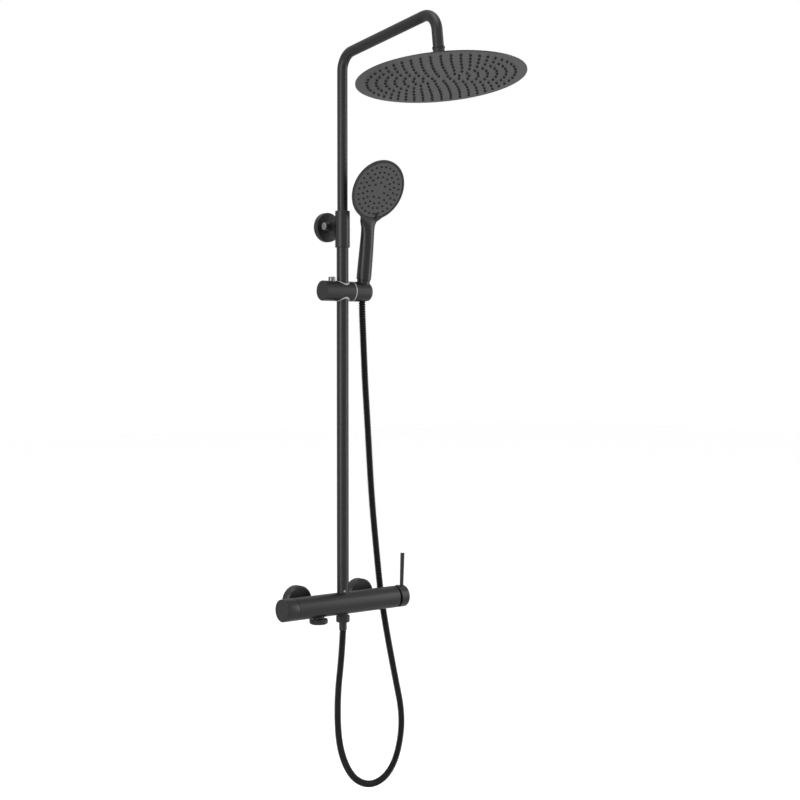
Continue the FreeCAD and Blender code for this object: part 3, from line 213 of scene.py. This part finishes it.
def finished(piece, turn, place, sharp=35):
    """Turns and moves a piece into its place, with the object left at the origin."""
    if piece.mode == "EDIT":
        bpy.ops.object.mode_set(mode="OBJECT")
    bpy.ops.object.select_all(action="DESELECT")
    piece.select_set(True)
    bpy.context.view_layer.objects.active = piece
    piece.rotation_euler, piece.location = turn, place
    bpy.ops.object.transform_apply(location=True, rotation=True, scale=True)
    bpy.ops.object.shade_smooth_by_angle(angle=math.radians(sharp))
    return piece


def hexagon_nut(name, flats, length, bore, turn, place):
    """A turned hexagon nut that stands on z = 0: chamfered corners and a countersunk hole at each end."""
    bpy.ops.object.select_all(action="DESELECT")
    bpy.ops.mesh.primitive_cylinder_add(vertices=48, radius=flats / math.sqrt(3), depth=length,
                                        location=(0, 0, length / 2))
    nut = begun(name)
    chamfer = flats / math.sqrt(3) - flats / 2
    for end in (0, length):
        pick(nut, "FACE", lambda middle, face, end=end: abs(middle.z - end) < 1e-6)
        bpy.ops.mesh.bevel(offset=chamfer * 0.9, segments=1, affect="EDGES")
    for side in range(6):
        angle = math.radians(60 * side)
        flat = Vector((math.cos(angle), math.sin(angle), 0))
        bpy.ops.mesh.select_all(action="SELECT")
        bpy.ops.mesh.bisect(plane_co=flat * flats / 2, plane_no=flat, clear_outer=True, use_fill=True)
    for end, way in ((0, 1), (length, -1)):
        pick(nut, "FACE", lambda middle, face, end=end:
             abs(middle.z - end) < 1e-6 and abs(face.normal.z) > 0.9)
        bpy.ops.mesh.inset(thickness=flats * 0.44 - bore)
        bpy.ops.mesh.extrude_region_move(TRANSFORM_OT_translate={"value": (0, 0, way * 0.0012)})
        bpy.ops.transform.resize(value=(0.92, 0.92, 1), center_override=(0, 0, end))
    bpy.ops.mesh.select_all(action="SELECT")
    bpy.ops.mesh.normals_make_consistent(inside=False)
    return finished(nut, turn, place, 20)


black_coat = coated("satin_black_coat", (0.0085, 0.0085, 0.009), 0.4, 1400.0, 0.12)
black_coat.paint("wall_rosettes", "inlet_unions")
seal_rubber = coated("seal_rubber", (0.012, 0.012, 0.012), 0.65, 900.0, 0.2)
seal_rubber.paint("union_washers")
acetal = coated("moulded_acetal", (0.42, 0.42, 0.43), 0.45, 700.0, 0.1)
acetal.paint("check_valves")
nut_back, nut_front, bar_level, inlet = -0.0185, -0.0315, -0.006, 0.075
for side, x in (("left", -inlet), ("right", inlet)):
    nut = hexagon_nut("union_nut_" + side, 0.03, nut_back - nut_front, 0.0108,
                      (math.radians(90), 0, 0), (x, nut_back, bar_level))
    black_coat.paint(nut)
    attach(nut, "root")
    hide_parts("union_nuts")


# ------------------------------------------------------------------ bar mixer
# A brass bar with a ceramic cartridge at its right end and a diverter below its left half, its
# ends closed by turned caps. The lever cap is a cup over the cartridge stem, with a pin to hold.
black_coat.paint("valve_body", "cartridge_dome", "lever_cap", "diverter_knob", "diverter_screw")
cap_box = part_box("bar_end_cap")
cap_face, cap_radius, cap_seam = cap_box[0][0], 0.0215, -0.1155
bpy.ops.object.select_all(action="DESELECT")
bpy.ops.mesh.primitive_cylinder_add(vertices=96, radius=cap_radius, depth=cap_seam - cap_face)
end_cap = begun("end_cap")
pick(end_cap, "FACE", lambda middle, face: abs(face.normal.z) > 0.9)
bpy.ops.mesh.bevel(offset=0.0011, segments=3, affect="EDGES")
pick(end_cap, "FACE", lambda middle, face: face.normal.z > 0.99 and face.calc_area() > 1e-4)
bpy.ops.mesh.inset(thickness=0.0014)
bpy.ops.mesh.extrude_region_move(TRANSFORM_OT_translate={"value": (0, 0, -0.0003)})
finished(end_cap, (0, math.radians(-90), 0), ((cap_face + cap_seam) / 2, -0.055, bar_level), 30)
black_coat.paint(end_cap)
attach(end_cap, "root")
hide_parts("bar_end_cap")
acetal.paint("cartridge_body", "cartridge_spindle")
ceramic = coated("lapped_ceramic", (0.75, 0.74, 0.7), 0.15, 3000.0, 0.02)
ceramic.paint("ceramic_disc")
steel = coated("plain_steel", (0.55, 0.55, 0.56), 0.28, 2500.0, 0.1).set(Metallic=1.0)
steel.paint("stem_pin", "cartridge_stem", "lever_grub_screw")
brass = coated("turned_brass", (0.62, 0.45, 0.2), 0.3, 3000.0, 0.08).set(Metallic=1.0)
brass.paint("cartridge_nut", "diverter_bonnet", "diverter_spindle")
enamel = coated("index_enamel", (0.3, 0.02, 0.03), 0.25, 500.0, 0.05)
enamel.paint("lever_index")

# ------------------------------------------------------------------ riser, bracket and arm
# Drawn brass tube, bent once over the head and sliding in a wider lower tube under a collar. The
# collar's barrel takes a stem from a round flange on a wall plate.
black_coat.paint("lower_riser_tube", "riser_collar", "upper_riser_arm", "wall_flange", "bracket_stem",
                 "bracket_barrel", "lever_pin")
barrel_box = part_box("bracket_barrel")
barrel_middle = [(low + high) / 2 for low, high in zip(*barrel_box)]
bpy.ops.object.select_all(action="DESELECT")
bpy.ops.mesh.primitive_cylinder_add(vertices=48, radius=0.0071, depth=0.0012)
plug = begun("bracket_end_screw")
pick(plug, "FACE", lambda middle, face: face.normal.z > 0.9)
bpy.ops.mesh.bevel(offset=0.0005, segments=2, affect="EDGES")
pick(plug, "FACE", lambda middle, face: face.normal.z > 0.99 and face.calc_area() > 1e-5)
bpy.ops.mesh.inset(thickness=0.0038)
bpy.ops.mesh.extrude_region_move(TRANSFORM_OT_translate={"value": (0, 0, -0.0008)})
finished(plug, (0, math.radians(-90), 0), (barrel_box[0][0] - 0.0004, *barrel_middle[1:]), 30)
satin_screw = coated("satin_screw", (0.3, 0.3, 0.305), 0.45, 2500.0, 0.06).set(Metallic=1.0)
satin_screw.paint(plug)
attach(plug, "root")
brass.paint("riser_spigot")
seal_rubber.paint("spigot_orings")
steel.paint("riser_grub_screws", "wall_plate")
acetal.paint("wiper_bush", "telescope_piston")


# ------------------------------------------------------------------ rain head
# Two pressed steel sheets rolled together at the rim, on a ball joint. The lower one is holed for
# the silicone nozzles of the mat behind it; its coat is coloured a shade greyer, a painted reflection of
# the pale floor.
def nozzle(name, foot, tip, height, sides=12):
    """One silicone nozzle standing on z = 0: a flared foot, a straight tip and a blind mouth."""
    bpy.ops.object.select_all(action="DESELECT")
    bpy.ops.mesh.primitive_cylinder_add(vertices=sides, radius=foot, depth=height * 0.3,
                                        location=(0, 0, height * 0.15))
    made = begun(name)
    pick(made, "FACE", lambda middle, face: middle.z > height * 0.29)
    bpy.ops.mesh.extrude_region_move(TRANSFORM_OT_translate={"value": (0, 0, height * 0.3)})
    bpy.ops.transform.resize(value=(tip / foot,) * 2 + (1,), center_override=(0, 0, 0))
    bpy.ops.mesh.extrude_region_move(TRANSFORM_OT_translate={"value": (0, 0, height * 0.4)})
    bpy.ops.mesh.inset(thickness=tip * 0.45)
    bpy.ops.mesh.extrude_region_move(TRANSFORM_OT_translate={"value": (0, 0, -height * 0.5)})
    bpy.ops.object.mode_set(mode="OBJECT")
    return made


def ringed(first, rings, turn, place):
    """Copies a nozzle round each ring (radius, count, degrees of its first), joined and in place."""
    row = []
    for radius, count, start in rings:
        for k in range(count):
            angle = 2 * math.pi * k / count - math.radians(start)
            more = first.copy()
            more.data = first.data.copy()
            bpy.context.scene.collection.objects.link(more)
            more.data.transform(Matrix.Translation((radius * math.cos(angle), radius * math.sin(angle), 0)))
            row.append(more)
    bpy.data.objects.remove(first)
    bpy.ops.object.select_all(action="DESELECT")
    for more in row:
        more.select_set(True)
    bpy.context.view_layer.objects.active = row[0]
    bpy.ops.object.join()
    return finished(row[0], turn, place)


black_coat.paint("ball_stud", "ball_nut", "head_inlet", "head_top_sheet")
# a shade greyer than the black coat: a painted reflection of the pale floor on faces turned down
sheen_painted_coat = coated("plate_coat_with_painted_sheen", (0.055, 0.055, 0.056), 0.42, 1400.0, 0.12)
sheen_painted_coat.paint("head_face_sheet")
acetal.paint("ball_seat_ring")
nozzle_rubber = coated("nozzle_silicone", (0.004, 0.004, 0.004), 0.6, 900.0, 0.1)
nozzle_rubber.paint("head_nozzle_mat")
ball, head_lean, head_face, ring_pitch = Vector((0, -0.3444, 0.9883)), math.radians(-7.5), 0.0253, 0.0165
head_down = Vector((0, math.sin(head_lean), -math.cos(head_lean)))
head_nozzles = ringed(nozzle("rain_nozzles", 0.0027, 0.0019, 0.0026),
                      [(ring_pitch * k, 6 * k, 34 + k) for k in range(1, 9)],
                      (math.pi + head_lean, 0, 0), ball + head_down * head_face)
nozzle_rubber.paint(head_nozzles)
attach(head_nozzles, "rain_head")

# ------------------------------------------------------------------ slider
# A turned sleeve across the riser with a spring button that frees its lock shoe, and beside it,
# past a bright trim ring, the cradle that tilts with the handset in its fork.
black_coat.paint("slider_housing", "slider_end_cap", "handset_cradle")
gunmetal = coated("gunmetal_plate", (0.2, 0.2, 0.205), 0.3, 2500.0, 0.06).set(Metallic=1.0)
gunmetal.paint("release_button")
trim = coated("pale_trim_ring", (0.5, 0.5, 0.5), 0.35, 700.0, 0.1)
trim.paint("slider_liner", "tilt_ring")
acetal.paint("lock_shoe")
steel.paint("button_spring")

# ------------------------------------------------------------------ handset
# An ABS moulding coated like the metal: a round handle that flares into a thin-rimmed disc with a
# domed back. The spray plate turns in the disc by a small black tab and holds silicone nozzles.
handle_sides, disc_sides, disc_radius, rim_width = 18, 40, 0.0604, 0.004
bpy.ops.object.select_all(action="DESELECT")
bpy.ops.mesh.primitive_cylinder_add(vertices=disc_sides, radius=disc_radius, depth=0.003,
                                    location=(0, 0, 0.0015))
shell = begun("handset_body")
pick(shell, "FACE", lambda middle, face: middle.z > 0.0029)
at_radius, at_depth = disc_radius, 0.003
# radius and depth of the rings of the domed back
back_rings = ((0.051, 0.0087), (0.040, 0.014), (0.026, 0.0187), (0.012, 0.0213))
for radius, depth in back_rings:
    bpy.ops.mesh.extrude_region_move(TRANSFORM_OT_translate={"value": (0, 0, depth - at_depth)})
    bpy.ops.transform.resize(value=(radius / at_radius,) * 2 + (1,), center_override=(0, 0, 0))
    at_radius, at_depth = radius, depth
pick(shell, "FACE", lambda middle, face: middle.z < 0.0001)
bpy.ops.mesh.inset(thickness=rim_width)
bpy.ops.mesh.extrude_region_move(TRANSFORM_OT_translate={"value": (0, 0, 0.0046)})
recess_radius = disc_radius - rim_width
for radius, depth, crease in ((disc_radius, 0.0, 0.7), (disc_radius, 0.003, 0.35),
                              (recess_radius, 0.0, 0.9), (recess_radius, 0.0046, 1.0)):
    pick(shell, "EDGE", lambda middle, edge, radius=radius, depth=depth:
         all(abs(v.co.z - depth) < 1e-5 and abs(v.co.xy.length - radius) < 2e-4 for v in edge.verts))
    bpy.ops.transform.edge_crease(value=crease)
neck_half_angle = math.radians(27)
pick(shell, "FACE", lambda middle, face: abs(math.atan2(middle.x, middle.y)) < neck_half_angle
     and (middle.xy.length > 0.058 and middle.z > 0.001 or middle.xy.length > 0.042 and middle.z > 0.0031))
bpy.ops.mesh.delete(type="FACE")
face_centre, face_lean = (0, -0.0219, 0.1984), math.radians(286)
finished(shell, (face_lean, 0, 0), face_centre)

bpy.ops.object.select_all(action="DESELECT")
handle_foot, foot_radius = 0.0234, 0.0147
bpy.ops.mesh.primitive_cylinder_add(vertices=handle_sides, radius=foot_radius, depth=0.038,
                                    location=(0, 0, handle_foot + 0.019))
handle = begun("handset_handle")
pick(handle, "FACE", lambda middle, face: middle.z > handle_foot + 0.037)
at_height, at_middle, at_wide, at_deep = handle_foot + 0.038, 0.0, foot_radius, foot_radius
# height, middle, half width and half depth of the handle's rings above its foot
handle_rings = ((0.0614, 0.0, 0.0146, 0.0144), (0.0994, 0.0002, 0.0138, 0.0130),
                (0.1180, 0.0009, 0.0138, 0.0117), (0.1270, 0.0016, 0.0150, 0.0104),
                (0.1330, 0.0026, 0.0178, 0.0092))
for height, middle, wide, deep in handle_rings:
    if height - at_height > 1e-6:
        bpy.ops.mesh.extrude_region_move(
            TRANSFORM_OT_translate={"value": (0, middle - at_middle, height - at_height)})
    bpy.ops.transform.resize(value=(wide / at_wide, deep / at_deep, 1),
                             center_override=(0, middle, height))
    at_height, at_middle, at_wide, at_deep = height, middle, wide, deep
bpy.ops.mesh.delete(type="ONLY_FACE")
pick(handle, "EDGE", lambda middle, edge: all(v.co.z < handle_foot + 1e-5 for v in edge.verts))
bpy.ops.transform.edge_crease(value=0.85)
bpy.ops.object.mode_set(mode="OBJECT")
shell.select_set(True)
bpy.context.view_layer.objects.active = shell
bpy.ops.object.join()
bpy.ops.object.mode_set(mode="EDIT")
bpy.ops.mesh.select_mode(type="EDGE")
bpy.ops.mesh.select_all(action="DESELECT")
bpy.ops.mesh.select_non_manifold()
bpy.ops.mesh.bridge_edge_loops(number_cuts=3, interpolation="SURFACE", smoothness=1.0)
bpy.ops.mesh.select_all(action="SELECT")
bpy.ops.mesh.normals_make_consistent(inside=False)
bpy.ops.object.mode_set(mode="OBJECT")
smoothing = shell.modifiers.new("smoothing", "SUBSURF")
smoothing.levels = smoothing.render_levels = 2
bpy.ops.object.modifier_apply(modifier=smoothing.name)
handset_lean, handset_place = math.radians(8.5), Vector((0.05, -0.053, 0.598))
finished(shell, (handset_lean, 0, 0), handset_place, 40)
black_coat.paint(shell)
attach(shell, "handset")
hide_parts("handset_shell")

to_face = (Matrix.Translation(handset_place) @ Matrix.Rotation(handset_lean, 4, "X")
           @ Matrix.Translation(face_centre) @ Matrix.Rotation(face_lean, 4, "X"))
plate_front = to_face @ Vector((0, 0, -0.0006))
nozzle_turn = (to_face @ Matrix.Rotation(math.pi, 4, "X")).to_euler()
# radius, count and degrees of the first nozzle of each ring
spray_rings = [(0.0155, 7, 17.5), (0.0265, 14, 18), (0.036, 20, 5), (0.047, 27, 7)]
spray = ringed(nozzle("spray_nozzle_tips", 0.0021, 0.0014, 0.0018), spray_rings, nozzle_turn, plate_front)
nozzle_rubber.paint(spray, "spray_nozzles")
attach(spray, "spray_dial")

bpy.ops.object.select_all(action="DESELECT")
bpy.ops.mesh.primitive_cube_add(size=1, location=(0.0533, 0, -0.0011), scale=(0.0132, 0.0056, 0.0034))
tab = begun("selector_tab")
pick(tab, "EDGE", lambda middle, edge: middle.z < 0)
bpy.ops.mesh.bevel(offset=0.0011, segments=3, affect="EDGES")
tab_turn = 12.7
finished(tab, (0, 0, math.radians(90 - tab_turn)), (0, 0, 0))
finished(tab, to_face.to_euler(), to_face.translation)
nozzle_rubber.paint(tab)
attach(tab, "spray_dial")

# the same greyer colour on the spray face: a painted reflection of the pale floor
sheen_painted_coat.paint("spray_face")
black_coat.paint("hose_cone_nut")
brass.paint("handset_inlet")

# ------------------------------------------------------------------ hose
# A 1.4 m shower hose: a steel strip wound in a spiral over a rubber tube, coated black, 13 mm
# across. It is crimped in a ferrule under the bar and held by the cone nut in the cradle.
hose_nut_top, hose_nut_foot, bar_y = -0.029, -0.0425, -0.055
hose_nut = hexagon_nut("hose_nut", 0.023, hose_nut_top - hose_nut_foot, 0.0072, (0, 0, 0),
                       (0, bar_y, hose_nut_foot))
black_coat.paint(hose_nut, "hose_ferrule")
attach(hose_nut, "root")
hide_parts("hose_hex_nut")
hose_coat = Finish(bpy.data.materials.new("hose_black_coat"))
depth = hose_coat.node("ShaderNodeAttribute", {"attribute_name": "groove_shade"}, {}, "Fac")
scuff = hose_coat.node("ShaderNodeTexNoise", {}, {
    "Vector": hose_coat.node("ShaderNodeTexCoord", {}, {}, "Object"), "Scale": 160.0, "Detail": 2.0})
# Base colour: near black deep in the coil's grooves, painted shade, and a little lighter on the crests, a
# painted highlight. Roughness follows the same groove depth.
hose_coat.set(Base_Color=hose_coat.node("ShaderNodeMix", {"data_type": "RGBA"}, {
    0: depth, 6: (0.012, 0.012, 0.0125, 1.0), 7: (0.0005, 0.0005, 0.0005, 1.0)}, 2),
    Specular_IOR_Level=0.22, Roughness=0.25 + 0.65 * depth + 0.12 * (scuff - 0.5))
hose_route = {
    "left": [(0, -55, -58.6), (-3, -55, -106), (-12.5, -53, -188), (-8, -49.5, -272),
             (11, -46, -326), (41, -42, -364), (85, -36.5, -382), (108, -33.25, -376.5)],
    "right": [(108, -33.25, -376.5), (131, -30, -371), (162, -25, -331), (177, -20.5, -260),
              (157, -18, -170), (137.5, -17.5, -83), (122, -17.5, -4), (110.5, -19, 82),
              (99.5, -21, 164), (92, -23, 234), (86.5, -25, 294), (83.15, -26.4, 326.5)],
    "upper": [(83.15, -26.4, 326.5), (79.8, -27.8, 359), (72.5, -31.5, 419), (66, -36.5, 469),
              (59.143, -42.571, 514)],
    "swing": [(59.143, -42.571, 514), (56.4, -45, 532), (54, -47.2, 546)],
    "top": [(54, -47.2, 546), (51.6, -49.4, 560), (50.1, -51.2, 580)],
}
hose_radius, coil_pitch, coil_depth = 0.0069, 0.0048, 0.0019
sides, steps_a_turn = 20, 8


def route_line(name, points):
    """The points of a smooth line that the route's points steer."""
    curve = bpy.data.curves.new(name, "CURVE")
    curve.dimensions, curve.resolution_u = "3D", 48
    spline = curve.splines.new("NURBS")
    spline.points.add(len(points) - 1)
    for point, at in zip(spline.points, points):
        point.co = (*(c / 1000 for c in at), 1)
    spline.order_u = 3
    spline.use_endpoint_u = True
    guide = bpy.data.objects.new(name, curve)
    bpy.context.scene.collection.objects.link(guide)
    bpy.context.view_layer.update()
    line = bpy.data.meshes.new_from_object(guide)
    found = np.array([v.co for v in line.vertices], float)
    bpy.data.objects.remove(guide)
    bpy.data.meshes.remove(line)
    return found


def evenly(line, start, step):
    """Points on the line at equal distances, the first at start, and both of its ends."""
    reach = np.concatenate([[0], np.cumsum(np.linalg.norm(np.diff(line, axis=0), axis=1))])
    count = max(2, round(reach[-1] / step) + 1)
    at = np.linspace(0, reach[-1], count)
    return np.stack([np.interp(at, reach, line[:, k]) for k in range(3)], 1), at + start


lengths, start = {}, 0.0
for part, points in hose_route.items():
    rings, distance = evenly(route_line("hose_line_" + part, points), start, coil_pitch / steps_a_turn)
    lengths[part] = (rings, distance)
    start = distance[-1]

side = np.array([1.0, 0.0, 0.0])
hose = {}
for part, (rings, distance) in lengths.items():
    ahead = np.gradient(rings, axis=0)
    ahead /= np.linalg.norm(ahead, axis=1)[:, None]
    corners, groove_shades = [], []
    for middle, along, reach in zip(rings, ahead, distance):
        side = side - along * (side @ along)
        side /= np.linalg.norm(side)
        other = np.cross(along, side)
        for k in range(sides):
            turn = 2 * math.pi * k / sides
            wave = 0.5 + 0.5 * math.cos(2 * math.pi * reach / coil_pitch - turn)
            radius = hose_radius - coil_depth * wave ** 2
            # how deep in the coil's groove this corner lies; it darkens the colour there as painted shade
            groove_shades.append(wave ** 2)
            corners.append(middle + radius * (math.cos(turn) * side + math.sin(turn) * other))
    faces = [(i * sides + k, i * sides + (k + 1) % sides, (i + 1) * sides + (k + 1) % sides,
              (i + 1) * sides + k) for i in range(len(rings) - 1) for k in range(sides)]
    faces.append(tuple(reversed(range(sides))))
    faces.append(tuple(range((len(rings) - 1) * sides, len(rings) * sides)))
    mesh = bpy.data.meshes.new("hose_" + part)
    mesh.from_pydata([tuple(c) for c in corners], [], faces)
    mesh.polygons.foreach_set("use_smooth", [True] * (len(faces) - 2) + [False] * 2)
    mesh.attributes.new("groove_shade", "FLOAT", "POINT").data.foreach_set("value", groove_shades)
    piece = bpy.data.objects.new("hose_" + part, mesh)
    bpy.context.scene.collection.objects.link(piece)
    hose_coat.paint(piece)
    hose[part] = piece

outlet, bottom, behind, below, hang, tail = (
    tuple(c / 1000 for c in hose_route[part][place]) for part, place in (
        ("left", 0), ("right", 0), ("upper", 0), ("swing", 0), ("top", 0), ("top", -1)))
fall = (bottom[2] - outlet[2]) * 2
rise = (behind[2] - bottom[2]) * 2
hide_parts("hose_loop")
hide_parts("hose_loop")
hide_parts("hose_upper")
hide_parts("hose_swing")
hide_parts("hose_top")
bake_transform(hose["left"], "root", "slider_sleeve", start=outlet, end=(0, -0.055, outlet[2] + fall))
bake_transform(hose["right"], "root", "slider_sleeve", start=(0.083, -0.026, behind[2] - rise),
         end=(0.083, -0.026, behind[2]))
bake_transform(hose["upper"])
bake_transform(hose["swing"])
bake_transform(hose["top"])


def long(part):
    return float(lengths[part][1][-1] - lengths[part][1][0])


long("left")
long("right")
long("upper")
